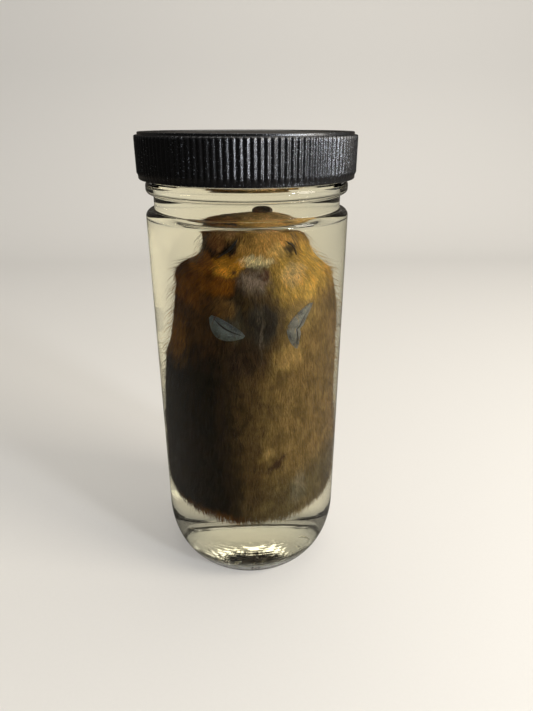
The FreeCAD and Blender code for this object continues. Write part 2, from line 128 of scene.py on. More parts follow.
class Shading:
    """A material's node tree with the few pattern steps that the finishes share."""

    def __init__(self, name: str) -> None:
        self.material = bpy.data.materials.new(name)
        self.material.use_nodes = True
        self.material.node_tree.nodes.clear()
        self.add = partial(add_node, self.material.node_tree)
        self.where = self.add("TexCoord", {})["Object"]

    def noise(self, size: Place, detail: float = 3, rough: float = 0.55, part: str = "Fac"):
        """Return soft noise whose blotches are about a size in millimetres along X, Y and Z."""
        scale = tuple(1 / (length * MM) for length in size)
        at = self.add("Mapping", {"Vector": self.where, "Scale": scale})[0]
        feeds = {"Vector": at, "Scale": 1, "Detail": detail, "Roughness": rough}
        return self.add("TexNoise", feeds)[part]

    def span(self, source: Feed, low: float, high: float, out_low: float = 0, out_high: float = 1):
        """Return a source stretched softly from one range to another and held there."""
        feeds = {"Value": source, 1: low, 2: high, 3: out_low, 4: out_high}
        return self.add("MapRange", feeds, interpolation_type="SMOOTHSTEP")[0]

    def mix(self, share: Feed, below: Feed, above: Feed):
        """Return two colours mixed by a share."""
        return self.add("Mix", {0: share, 6: below, 7: above}, data_type="RGBA")[2]

    def reckon(self, operation: str, first: Feed, second: Feed):
        """Return one step of arithmetic on two numbers."""
        return self.add("Math", {0: first, 1: second}, operation=operation)[0]

    def vector(self, operation: str, feeds: Feeds, part: str = "Vector"):
        """Return one step of arithmetic on vectors."""
        return self.add("VectorMath", feeds, operation=operation)[part]

    def bump(self, height: Feed, depth: float):
        """Return a normal roughened by a height whose full range is a depth in millimetres."""
        return self.add("Bump", {"Height": height, "Distance": depth * MM, "Strength": 1})[0]

    def surface(self, colour: Feed, rough: Feed, more: Feeds, volume: Optional[Feed] = None) -> Material:
        """Give the material the shader that its surface shows, and what fills its inside.

        Args:
            colour: The base colour.
            rough: The roughness.
            more: What the shader's other sockets get, by name.
            volume: The shader of the inside.

        Returns:
            The finished material.
        """
        shader = self.add("BsdfPrincipled", {"Base Color": colour, "Roughness": rough, **more})
        inside = {"Volume": volume} if volume else {}
        self.add("OutputMaterial", {"Surface": shader[0], **inside})
        return self.material


# --- Finishes ---


@dataclass(frozen=True)
class ClearGlass:
    """Blown soda-lime glass: clear across the wall and grey-green along its edges."""

    name: str = "soda_lime_glass"
    bend: float = 1.5
    tint: str = "fbfdfb"
    mirror: str = "989898"
    ripple: float = 0.05

    def make(self) -> Material:
        """Return the material, with the slow ripple that blowing leaves in a wall."""
        look = Shading(self.name)
        more = {
            "IOR": self.bend,
            "Specular Tint": self.mirror,
            "Transmission Weight": 1,
            "Normal": look.bump(look.noise((14, 14, 9), detail=1), self.ripple),
        }
        return look.surface(self.tint, 0, more)


@dataclass(frozen=True)
class PreservingFluid:
    """Old preserving fluid, which has drawn a weak yellow from what it keeps."""

    level: float
    name: str = "preserving_fluid"
    bend: float = 1.345
    tint: str = "fae594"
    density: float = 9.0
    skin: tuple[float, ...] = (0.4, 0.1)

    def make(self) -> Material:
        """Return the material: yellower the deeper the light goes, a mirror only at its level."""
        look = Shading(self.name)
        height = look.add("SeparateXYZ", {"Vector": look.where})["Z"]
        free = look.span(height, *((self.level - below) * MM for below in self.skin))
        mirror = look.mix(free, "000000", "ffffff")
        inside = look.add("VolumeAbsorption", {"Color": self.tint, "Density": self.density})[0]
        more = {"IOR": self.bend, "Specular Tint": mirror, "Transmission Weight": 1}
        return look.surface("ffffff", 0, more, inside)


@dataclass(frozen=True)
class MouldedPlastic:
    """Black moulded plastic with a fine spark-eroded grain and a film of pale dust."""

    name: str = "black_polypropylene"
    colour: str = "08080a"
    dust: str = "a8adb2"
    grain: float = 0.28
    speck: float = 0.42

    def make(self) -> Material:
        """Return the material."""
        look = Shading(self.name)
        grain = look.noise((self.grain,) * 3, 4, 0.7)
        film = look.span(look.noise((9, 9, 6)), 0.4, 0.7, 0.15, 0.75)
        specks = look.span(look.noise((self.speck,) * 3, 2, 0.5), 0.62, 0.78)
        dusty = look.reckon("MULTIPLY", specks, film)
        return look.surface(
            look.mix(dusty, self.colour, self.dust),
            look.span(grain, 0.3, 0.7, 0.1, 0.26),
            {"Specular IOR Level": 0.55, "Normal": look.bump(grain, 0.06)},
        )


@dataclass(frozen=True)
class PulpBoard:
    """Pressed pulp with its fibres showing, the usual facing of a cap liner."""

    name: str = "pulp_board"
    dark: str = "c9b994"
    pale: str = "e6dcc3"
    stain: str = "a88c5c"

    def make(self) -> Material:
        """Return the material."""
        look = Shading(self.name)
        fibres = look.noise((0.25, 2.5, 0.25), 5, 0.7)
        stained = look.span(look.noise((14, 14, 4)), 0.55, 0.8)
        clean = look.mix(look.span(fibres, 0.3, 0.7), self.dark, self.pale)
        return look.surface(
            look.mix(stained, clean, self.stain),
            look.span(fibres, 0.3, 0.7, 0.8, 0.95),
            {"Normal": look.bump(fibres, 0.05)},
        )


@dataclass(frozen=True)
class Patch:
    """One soft-edged patch of the coat.

    It has a middle, a reach across, up and deep into the body, and a lean about Y. Its core
    is the share of the reach that is fully covered.
    """

    colour: str
    across: float
    along: float
    level: float
    wide: float
    tall: float
    strength: float = 1
    lean: float = 0
    core: float = 0.35
    deep: float = 34


# How deep a patch has to be to reach right round the body.
ROUND = 60
MARKINGS_AND_PAINTED_LIGHT = (
    # The flank towards the light is olive and gold and the other nearly black, partly the coat's own
    # colour and partly painted light and painted shade.
    Patch("8a6e40", 23, -4, 72, 37, 120, core=0.36, deep=ROUND),
    Patch("6a5c3e", 23, -4, 28, 34, 28, 0.85, core=0.4, deep=ROUND),
    Patch("8a7e62", 15.5, -12, 38, 3.6, 9, 0.7),
    Patch("684216", -12, -12, 25, 17, 6, 0.75),
    Patch("cca660", 12, -12, 94, 6, 8, 0.7, lean=15),
    Patch("3c2a1c", 8, -20, 51.5, 6.6, 1.7, 0.8, lean=-52),
    Patch("b08e52", 5.5, -20, 56.5, 5, 2.6, 0.55, lean=-50),
    # The left shoulder is brown, with an amber edge.
    Patch("664422", -17, -4, 110, 16, 25, 0.95, core=0.1, deep=ROUND),
    Patch("986024", -17, -10, 117, 7, 9, 0.9),
    Patch("a06c26", -22, -4, 98, 5, 15, 0.85, deep=ROUND),
    # The cheeks and the brow are amber, paler and wider on the right.
    # The left cheek's patch is amber coat with painted rim light along its edge.
    Patch("b87830", -13, -14, 125.5, 5.5, 5.5, 0.9, core=0.4),
    Patch("8a5618", -9.5, -16, 120, 8.5, 6, core=0.4),
    Patch("f0aa3c", -5.5, -16, 126, 7, 4.4, 1, lean=-28),
    Patch("d6ae54", 15.5, -12, 122.5, 11.5, 14, core=0.45),
    Patch("eccc88", 12.8, -16, 122.6, 4.6, 5, 0.9),
    Patch("a88a50", 16, -14, 108, 7, 7, 0.8),
    # The muzzle: amber in the middle, browner on the left.
    Patch("c89c56", 4, -12, 132.6, 15, 7, 0.95, core=0.5),
    # Painted light: the top of the head and its upper left are painted paler against the cap's shade, and
    # the muzzle's left edge against the shade of the side away from the light.
    Patch("f2cc92", 5, -12, 140, 12, 3.8, 0.9),
    Patch("b88c60", -5.5, -12, 137, 5.5, 5.2, 0.9),
    Patch("b08458", -10.5, -8, 136.5, 5.5, 6, 0.8),
    Patch("a07048", -8.5, -12, 131.5, 4.4, 3.6, 0.7),
    Patch("f0c878", 8.6, -14, 130.4, 3.8, 3.4, 0.8),
    Patch("fcecb8", 2, -17, 127, 6.4, 2.4, 0.95, core=0.2),
    # A dark saddle runs down between the ears, under a greyish pink brow.
    Patch("3c2e20", -1, -20, 95, 9, 11, 0.9),
    # Painted reflection: this grey patch is the glass's grey sheen painted onto the coat.
    Patch("5c5a4e", -4.5, -20, 107.5, 3.6, 9, 0.7),
    Patch("322f28", 4.2, -20, 107, 7.8, 11.6, 0.97, core=0.42),
    Patch("8a6636", -7, -18, 112, 4.5, 5.5, 0.8),
    Patch("a28e7e", 1.8, -20, 121, 6.6, 6, 0.8, core=0.15),
    Patch("54392a", 5, -18, 122.8, 2.3, 2.3, 0.9),
    Patch("8a7c6c", 3.7, -20, 104, 0.9, 13, 0.6, core=0.2),
    # Round the closed eyes the coat is nearly black.
    Patch("15161a", -5.2, -14, 130.6, 2.5, 5.8, 0.92, lean=38, core=0.3),
    Patch("1c1614", 11.5, -13, 130, 1.6, 3.4, 0.9, lean=-26, core=0.2),
    Patch("a04c20", 9.6, -13, 132.4, 1.2, 2.4, 0.3, lean=-26),
)


@dataclass(frozen=True)
class Fur:
    """The animal's coat: streaked along the hair, patched by its markings and by painted light and shade.
    """

    name: str = "fur"
    dark: str = "1a140a"
    # The amber tip colour and its share are painted glow: light shining through the ends of the hairs.
    tip: str = "b8883c"
    tip_glow_share: float = 0.05
    blur: float = 3

    def make(self) -> Material:
        """Return the material, which hair and the skin below it share."""
        look = Shading(self.name)
        drift = look.noise((1.6, 1.6, 6), part="Color")
        spread = {0: drift, 1: (2 * self.blur * MM,) * 3, 2: (-self.blur * MM,) * 3}
        blurred = look.vector("ADD", {0: look.where, 1: look.vector("MULTIPLY_ADD", spread)})
        colour: Feed = self.dark
        for patch in MARKINGS_AND_PAINTED_LIGHT:
            colour = look.mix(self._mask(look, patch, blurred), colour, patch.colour)
        tone, reach = (look.add("Attribute", {}, attribute_name=name)["Fac"] for name in ("tone", "reach"))
        lightness = look.span(look.noise((0.5, 0.5, 7)), 0.3, 0.7, 0.8, 1.2)
        for amount in (
            look.span(tone, 0, 1, 0.8, 1.62),
            look.span(look.noise((3.6, 3.6, 5), 4), 0.35, 0.65, 0.74, 1.26),
            # Painted glow: the hairs grow lighter towards their tips.
            look.span(reach, 0, 1, 0.8, 1.2),
        ):
            lightness = look.reckon("MULTIPLY", lightness, amount)
        lit = look.vector("SCALE", {0: colour, "Scale": lightness})
        glow_tipped = look.mix(look.reckon("MULTIPLY", reach, self.tip_glow_share), lit, self.tip)
        return look.surface(glow_tipped, look.span(tone, 0, 1, 0.45, 0.7), {"Specular IOR Level": 0.06})

    @staticmethod
    def _mask(look: Shading, patch: Patch, where: Feed):
        """Return how far a patch covers each point, from 0 to its strength."""
        place = {
            "Vector": where,
            "Location": (patch.across * MM, patch.along * MM, patch.level * MM),
            "Rotation": (0, math.radians(patch.lean), 0),
            "Scale": (patch.wide * MM, patch.deep * MM, patch.tall * MM),
        }
        local = look.add("Mapping", place, vector_type="TEXTURE")[0]
        distance = look.vector("LENGTH", {0: local}, "Value")
        return look.span(distance, patch.core, 1, patch.strength, 0)


@dataclass(frozen=True)
class BareSkin:
    """Preserved bare skin: leathery and grey, with pale wrinkles, as on the ears."""

    name: str = "grey_leathery_skin"
    pale: str = "6c7474"
    dark: str = "363e40"
    wrinkle: str = "98a2a0"

    def make(self) -> Material:
        """Return the material."""
        look = Shading(self.name)
        blotches = look.span(look.noise((4, 4, 4)), 0.35, 0.65)
        wrinkles = look.noise((0.35, 0.8, 0.35), 5, 0.7)
        plain = look.mix(blotches, self.dark, self.pale)
        return look.surface(
            look.mix(look.span(wrinkles, 0.45, 0.7, 0, 0.6), plain, self.wrinkle),
            look.span(wrinkles, 0.3, 0.7, 0.35, 0.6),
            {"Normal": look.bump(wrinkles, 0.12)},
        )


@dataclass(frozen=True)
class Horn:
    """Horn of claws and whiskers: faintly streaked, from dark to pale."""

    name: str = "horn"
    dark: str = "2a2018"
    pale: str = "8c7a5c"

    def make(self) -> Material:
        """Return the material."""
        look = Shading(self.name)
        streaks = look.noise((0.3, 0.3, 2))
        rough = look.span(streaks, 0.3, 0.7, 0.25, 0.45)
        return look.surface(look.mix(streaks, self.dark, self.pale), rough, {})


@dataclass(frozen=True)
class StudioPaper:
    """Plain pale paper of the floor and the backdrop.

    It is pale where it is seen, directly or through glass, and throws little light or
    reflection back at the object, as dark walls round a small sheet would.
    """

    name: str = "studio_paper"
    dark: str = "b2aea6"
    pale: str = "b6b2aa"
    bounce: str = "5c5750"
    light: str = "f6f3ee"
    glow: float = 0.3

    def make(self) -> Material:
        """Return the material."""
        look = Shading(self.name)
        tooth = look.noise((1.2, 1.2, 1.2))
        path = look.add("LightPath", {})
        seen = look.reckon("MAXIMUM", path["Is Camera Ray"], path["Is Transmission Ray"])
        plain = look.mix(tooth, self.dark, self.pale)
        more = {
            "Normal": look.bump(tooth, 0.02),
            "Emission Color": self.light,
            "Emission Strength": look.reckon("MULTIPLY", seen, self.glow),
        }
        return look.surface(look.mix(look.reckon("SUBTRACT", 1, seen), plain, self.bounce), 0.85, more)


# --- Meshes ---

Outline = list[Pair]
Mesh = tuple[Array, list[tuple[int, ...]]]
Shift = Callable[[Array, Array, Array], Array]


def arc(centre: Pair, reach: Union[float, Pair], first: float, last: float, steps: int = 8) -> Outline:
    """Return outline points along part of an oval.

    Args:
        centre: Radius and level of the oval's middle.
        reach: Half its width and half its height, or the radius of a circle.
        first: Angle to start at, in degrees from straight out.
        last: Angle to end at.
        steps: Stretches to divide it into.

    Returns:
        The points, both ends included.
    """
    wide, high = np.broadcast_to(reach, 2)
    angles = np.radians(np.linspace(first, last, steps + 1))
    return [(centre[0] + wide * math.cos(turn), centre[1] + high * math.sin(turn)) for turn in angles]


def rise(radius: float, low: float, high: float, step: float) -> Outline:
    """Return points straight up or down a wall, about a step apart, both ends included."""
    count = max(1, round(abs(high - low) / step))
    return [(radius, level) for level in np.linspace(low, high, count + 1)]


def held(outline: Outline, long: float = 0.4, near: float = 0.05) -> Outline:
    """Add a point just inside both ends of each long stretch of an outline.

    A long face then keeps its own true slope right up to the rounding beside it, and clear
    glass bends light as a flat wall does.

    Args:
        outline: Radius and level of each point.
        long: Length from which a stretch gets them.
        near: How far from a stretch's ends the points are added.

    Returns:
        The outline with its added points.
    """
    points = [outline[0]]
    for start, end in zip(outline, outline[1:]):
        length = math.dist(start, end)
        if length > long:
            for share in (near / length, 1 - near / length):
                points.append(tuple(a + (b - a) * share for a, b in zip(start, end)))
        points.append(end)
    return points


def ring_faces(sides: int, rings: int, closed: bool = True) -> list[tuple[int, ...]]:
    """Return the faces between rings of points that follow each other.

    Args:
        sides: Points in each ring.
        rings: How many rings there are.
        closed: Whether a face closes each end.

    Returns:
        The quads from ring to ring, then the faces at the ends.
    """
    faces = []
    for low in range(0, (rings - 1) * sides, sides):
        for side in range(sides):
            other, high = (side + 1) % sides, low + sides
            faces.append((low + side, low + other, high + other, high + side))
    if closed:
        faces.append(tuple(range(sides))[::-1])
        faces.append(tuple((rings - 1) * sides + side for side in range(sides)))
    return faces


def round_angles(sides: int) -> Array:
    """Return angles evenly round a full turn."""
    return np.arange(sides) * 2 * math.pi / sides


def turned(outline: Outline, segments: int, shift: Optional[Shift] = None) -> Mesh:
    """Turn a closed outline, which starts and ends on the axis, round Z.

    Args:
        outline: Radius and level of each point, in millimetres.
        segments: Divisions round the axis.
        shift: Moves a radius in or out, from arrays of radius, angle and level.

    Returns:
        The mesh, with one ring of faces for each stretch of the outline, in its order.
    """
    rings = np.array(outline[1:-1])
    radius, level = np.repeat(rings, segments, axis=0).T
    angle = np.tile(round_angles(segments), len(rings))
    if shift is not None:
        radius = shift(radius, angle, level)
    points = np.column_stack([radius * np.cos(angle), radius * np.sin(angle), level])
    points = np.vstack([points, (0.0, 0.0, outline[0][1]), (0.0, 0.0, outline[-1][1])])
    last = len(points) - 1
    top = last - 1 - segments
    along = [(segment, (segment + 1) % segments) for segment in range(segments)]
    return points, [
        *((last - 1, following, segment) for segment, following in along),
        *ring_faces(segments, len(rings), closed=False),
        *((last, top + segment, top + following) for segment, following in along),
    ]


def unit(vectors: Array) -> Array:
    """Return vectors, one a row, brought to a length of 1."""
    return vectors / np.maximum(np.linalg.norm(vectors, axis=1, keepdims=True), 1e-9)


def tube(path: Array, radii: Sequence[float], sides: int) -> Mesh:
    """Return a tapered tube along a path, closed at both ends."""
    ahead = unit(np.gradient(path, axis=0))
    helper = np.where(np.abs(ahead[:, 2:3]) > 0.9, (1.0, 0.0, 0.0), (0.0, 0.0, 1.0))
    across = unit(np.cross(ahead, helper))
    over = np.cross(ahead, across)
    angles = round_angles(sides)[None, :, None]
    ring = np.cos(angles) * across[:, None] + np.sin(angles) * over[:, None]
    points = (path[:, None] + ring * np.asarray(radii)[:, None, None]).reshape(-1, 3)
    return points, ring_faces(sides, len(path))


def joined(parts: Sequence[Mesh]) -> Mesh:
    """Return several meshes as one."""
    points, faces, start = [], [], 0
    for part_points, part_faces in parts:
        points.append(part_points)
        faces.extend(tuple(corner + start for corner in face) for face in part_faces)
        start += len(part_points)
    return np.vstack(points), faces


def mesh_object(name: str, mesh: Mesh) -> bpy.types.Object:
    """Make a smooth object from points in millimetres and faces, and link it into the scene."""
    points, faces = mesh
    data = bpy.data.meshes.new(name)
    data.from_pydata((np.asarray(points, float) * MM).tolist(), [], [list(face) for face in faces])
    data.polygons.foreach_set("use_smooth", [True] * len(data.polygons))
    data.update()
    item = bpy.data.objects.new(name, data)
    bpy.context.scene.collection.objects.link(item)
    return item


def add_piece(
    name: str, mesh: Mesh, slot: Slot, *materials: Material, body: Body = Body.JAR
) -> bpy.types.Object:
    """Make one piece of the object and report it.

    Args:
        name: The piece's name.
        mesh: Its points in millimetres and its faces.
        slot: The record's material slot; not used.
        materials: Its finishes.
        body: What it rides on.

    Returns:
        The piece.
    """
    piece = mesh_object(name, mesh)
    for material in materials:
        piece.data.materials.append(material)
    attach(piece, body.value)
    log.info("%s: %d faces on %s", piece.name, len(piece.data.polygons), body.value)
    return piece


# --- Jar, fluid, cap and liner ---


@dataclass(frozen=True)
class Thread:
    """One-turn screw thread of the neck and of the cap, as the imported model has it."""

    rim: float
    pitch: float = 4.233
    turns: float = 1.15
    depth: float = 1.25
    drop: float = 2.8
    base: float = 2.4
    crest: float = 1.2
    cap_base: float = 1.8
    cap_crest: float = 0.8
    play: float = 0.35
    fade: float = 0.03

    def on_neck(self, angle: Array, level: Array) -> Array:
        """Return how far the neck's ridge stands out at each angle and level."""
        return self._ridge(angle, level - self._start(), self.base, self.crest)

    def in_cap(self, angle: Array, level: Array) -> Array:
        """Return how far the cap's ridge, just under the neck's, stands in."""
        start = self._start() - (self.base + self.cap_crest) / 2 - self.play
        return self._ridge(angle, level - start, self.cap_base, self.cap_crest)

    def _start(self) -> float:
        """Return the height at which the middle of the neck's ridge begins."""
        return self.rim - self.drop - self.pitch * self.turns

    def _ridge(self, angle: Array, above: Array, base: float, crest: float) -> Array:
        """Return the depth of a helical ridge, with faded ends, from its width at root and crest."""
        share = np.zeros_like(angle)
        for lap in range(math.ceil(self.turns) + 1):
            run = angle / (2 * math.pi) + lap
            off = np.abs(above - self.pitch * run)
            slope = np.clip((base / 2 - off) / ((base - crest) / 2), 0.0, 1.0)
            ends = np.clip(np.minimum(run, self.turns - run) / self.fade, 0.0, 1.0)
            share = np.maximum(share, slope * ends)
        return share * share * (3 - 2 * share) * self.depth


@dataclass
class Jar:
    """The glass jar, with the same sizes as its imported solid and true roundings."""

    thread: Thread
    radius: float = 34.6
    wall: float = 2.3
    floor: float = 4.0
    heel_width: float = 12.0
    heel_height: float = 22.0
    ring: float = 4.0
    push_up: float = 2.6
    floor_rise: float = 2.2
    shoulder: float = 141.4
    shoulder_turn: float = 2.2
    throat_turn: float = 1.2
    recess: float = 31.7
    recess_height: float = 5.2
    recess_turn: float = 0.6
    bead: float = 34.1
    bead_height: float = 4.2
    bead_under: float = 1.4
    bead_over: float = 1.7
    finish: float = 33.5
    bore: float = 29.8
    rim_turn: float = 0.9
    fluid_level: float = 154.0
    segments: int = 256

    def __post_init__(self) -> None:
        self.heel_middle = self.radius - self.heel_width
        self.bead_low = self.shoulder + self.recess_height
        self.bead_top = self.bead_low + self.bead_height

    def inside(self, grown: float = 0.0) -> Outline:
        """Return the inside from the floor's middle to the throat, grown into the glass."""
        wall = self.radius - self.wall + grown
        floor = self.floor - grown
        width = self.heel_width - self.wall / 2
        height = self.heel_height - self.floor
        throat = self.shoulder - self.wall + grown
        bore, turn = self.bore + grown, self.throat_turn
        return [
            *arc((0, floor), (self.heel_middle - self.ring, self.floor_rise), 90, 0, 12),
            *arc((wall - width, floor + height), (width, height), -90, 0, 20),
            *arc((wall - turn, throat - turn), turn, 0, 90),
            *arc((bore + turn, throat + turn), turn, 270, 180),
        ]

    def outside(self) -> Outline:
        """Return the outside from the base's middle to the inside of the rim."""
        turn, bend, high = self.shoulder_turn, self.recess_turn, self.heel_height
        under, over, axis = self.bead_under, self.bead_over, self.recess + bend
        rim, rim_level = self.rim_turn, self.thread.rim - self.rim_turn
        return [
            *arc((0, 0), (self.heel_middle - self.ring, self.push_up), 90, 0, 12),
            *arc((self.heel_middle, high), (self.heel_width, high), -90, 0, 20),
            *arc((self.radius - turn, self.shoulder - turn), turn, 0, 90, 12),
            *arc((axis, self.shoulder + bend), bend, 270, 180, 5),
            *arc((axis, self.bead_low - bend), bend, 180, 90, 5),
            *arc((self.bead - under, self.bead_low + under), under, -90, 0, 8),
            *arc((self.bead - over, self.bead_top - over), over, 0, 90, 4),
            *rise(self.finish, self.bead_top, rim_level, 0.25),
            *arc((self.finish - rim, rim_level), rim, 0, 90, 6)[1:],
            *arc((self.bore + rim, rim_level), rim, 90, 180, 6),
        ]

    def _threaded(self, radius: Array, angle: Array, level: Array) -> Array:
        """Stand the screw thread out of the neck."""
        on_neck = (level > self.bead_top) & (np.abs(radius - self.finish) < 1e-6)
        return radius + np.where(on_neck, self.thread.on_neck(angle, level), 0.0)

    def build(self) -> None:
        """Make the glass, whose inside mirrors nothing where the fluid wets it."""
        waterline = (self.bore, self.fluid_level)
        outline = held(self.outside() + [waterline, *self.inside()[::-1]])
        mesh = turned(outline, self.segments, self._threaded)
        wetted = ClearGlass("wetted_glass", mirror="000000", ripple=0.0).make()
        piece = add_piece("jar_glass", mesh, Slot.GLASS, ClearGlass().make(), wetted)
        first_wet = outline.index(waterline) * self.segments
        for face in piece.data.polygons:
            face.material_index = int(face.index >= first_wet)
        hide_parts("glass_jar")


@dataclass
class Fluid:
    """Preserving fluid up to a level in the neck, wetting the glass."""

    jar: Jar
    overlap: float = 0.06
    meniscus: float = 1.0

    def build(self) -> None:
        """Make the fluid, let a hair's breadth into the wall so that no air gap shows."""
        level, reach = self.jar.fluid_level, self.meniscus
        curve = arc((self.jar.bore + self.overlap - reach, level + reach), reach, 0, -90, 6)
        mesh = turned(held([*self.jar.inside(self.overlap), *curve, (0.0, level)]), self.jar.segments)
        piece = add_piece("fluid", mesh, Slot.FLUID, PreservingFluid(level).make())
        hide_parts("preserving_fluid")


@dataclass
class Cap:
    """Moulded screw cap: rounded grip ribs, stepped and dished top, thread inside."""

    thread: Thread
    rib_depth: float = 0.45
    ribs: int = 120
    rib_samples: int = 7
    rib_fade: float = 0.5
    band: float = 1.4
    panel: float = 1.9
    step: float = 0.9
    step_inset: float = 0.7
    step_turn: float = 0.3
    dish: float = 0.4
    dish_margin: float = 2.4
    edge: float = 0.35
    corner: float = 0.2
    skirt_inside: float = 35.1

    def __post_init__(self) -> None:
        low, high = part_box("screw_cap")
        self.low, self.top = low.z / MM, high.z / MM
        self.foot = high.x / MM - self.rib_depth
        self.rib_low = self.low + self.band
        self.rib_high = self.top - self.step

    def outline(self) -> Outline:
        """Return the outline from the middle of the top, over the skirt, to the panel."""
        top, edge, corner, turn = self.top, self.edge, self.corner, self.step_turn
        sunk, panel = top - self.dish, top - self.panel
        foot, skirt = self.foot, self.skirt_inside
        shelf = foot - self.step_inset
        dish = shelf - self.dish_margin
        return [
            (0.0, sunk),
            (dish - 0.6, sunk),
            (dish - 0.2, sunk + 0.06),
            (dish, top - 0.12),
            (dish + 0.15, top),
            *arc((shelf - edge, top - edge), edge, 90, 0, 5),
            *arc((shelf + corner, self.rib_high + corner), corner, 180, 270, 4),
            *arc((foot - turn, self.rib_high - turn), turn, 90, 0, 4),
            *rise(foot, self.rib_high - turn, self.rib_low, 0.6)[1:],
            *arc((foot - edge, self.low + edge), edge, 0, -90, 5),
            (skirt + corner, self.low),
            *rise(skirt, self.low + corner, panel - 0.4, 0.35),
            (skirt - 0.3, panel),
            (0.0, panel),
        ]

    def _formed(self, radius: Array, angle: Array, level: Array) -> Array:
        """Stand the ribs out of the skirt, and the thread's ridge into it."""
        crest = (0.5 + 0.5 * np.cos(angle * self.ribs)) ** 0.8
        within = np.minimum(level - self.rib_low, self.rib_high - level) / self.rib_fade
        ribs = crest * np.clip(within + 0.25, 0.0, 1.0) * self.rib_depth
        outer = radius > self.foot - self.step_turn - 0.01
        inner = np.abs(radius - self.skirt_inside) < 1e-6
        ridge = np.where(inner, self.thread.in_cap(angle, level), 0.0)
        return radius + np.where(outer, ribs, 0.0) - ridge

    def build(self) -> None:
        """Make the cap."""
        outline = held(self.outline()[::-1], long=0.8)
        mesh = turned(outline, self.ribs * self.rib_samples, self._formed)
        piece = add_piece("cap_shell", mesh, Slot.PLASTIC, MouldedPlastic().make(), body=Body.CAP)
        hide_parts("screw_cap")


@dataclass
class Liner:
    """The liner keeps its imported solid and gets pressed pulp's look."""

    node: str = "cap_liner"

    def build(self) -> None:
        """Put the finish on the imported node."""
        material = PulpBoard().make()
        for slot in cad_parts[self.node].material_slots:
            slot.material = material


# --- The animal ---

# The body under the fur, level by level: level, middle across and half width, middle
# along, reach to the back and reach to the belly.
STATIONS = (
    (26.8, 0.3, 0.05, 0, 0.05, 0.05),
    (26.9, 0.3, 15, 0, 15, 15),
    (27.4, 0.2, 20.6, 0, 20.2, 20.2),
    (30, 0, 22.2, 0, 21.7, 21.7),
    (38, -0.1, 22.6, 0, 22, 22),
    (52, -0.1, 22.8, 0, 22, 22),
    (64, -0.1, 22.8, 0, 22, 22),
    (76, 0.1, 22.7, 0, 21.8, 21.8),
    (88, 0.6, 22.5, 0, 21.6, 21.6),
    (95, 1.2, 22, 0, 21.4, 21.2),
    (101, 1.6, 21.7, 0, 21.2, 20.8),
    (107, 1.8, 21.4, 0, 21.2, 20.2),
    (113, 1.75, 20.9, 0, 20.8, 19.4),
    (117, 1.6, 20.4, -0.1, 20, 18.8),
    (121, 1.3, 19.6, -0.2, 18.8, 17.8),
    (124, 1.3, 17.5, -0.3, 17.2, 16.4),
    (126.6, 2, 15.2, -0.4, 15.6, 15),
    (129.4, 2.1, 14, -0.4, 14.2, 13.8),
    (132, 1.8, 13.5, -0.5, 13, 12.8),
    (135, 1.2, 12.7, -0.6, 11.4, 11),
    (138.2, 0.8, 11.2, -0.7, 9.4, 9.2),
    (139.6, 1.4, 8.8, -0.9, 7.4, 7.2),
    (140.6, 3, 4, -1.1, 4, 3.8),
    (141.2, 3.6, 0.05, -1.2, 0.05, 0.05),
)


@dataclass(frozen=True)
class Swell:
    """A soft rise (or hollow, where the height is below 0) of the body."""

    centre: Place
    reach: Place
    height: float


SWELLS = (
    Swell((3.4, -20, 113), (10, 12, 9), 1.5),
    Swell((-9.5, -15, 123.5), (5.5, 9, 4.5), 1.5),
    Swell((15, -13, 122.5), (5, 9, 6), 1.6),
    Swell((-5.2, -14, 130.6), (2.4, 8, 4.4), -0.9),
    Swell((11.4, -12, 130.2), (1.8, 8, 3.4), -0.7),
    Swell((-10.8, -6, 137.4), (3.2, 6, 2.6), 1.2),
    Swell((3.7, -21, 105), (0.8, 8, 14), -0.55),
    Swell((6.1, -22, 52), (6, 8, 2.4), -0.7),
    Swell((16, -16, 34), (5, 9, 4), 0.6),
)


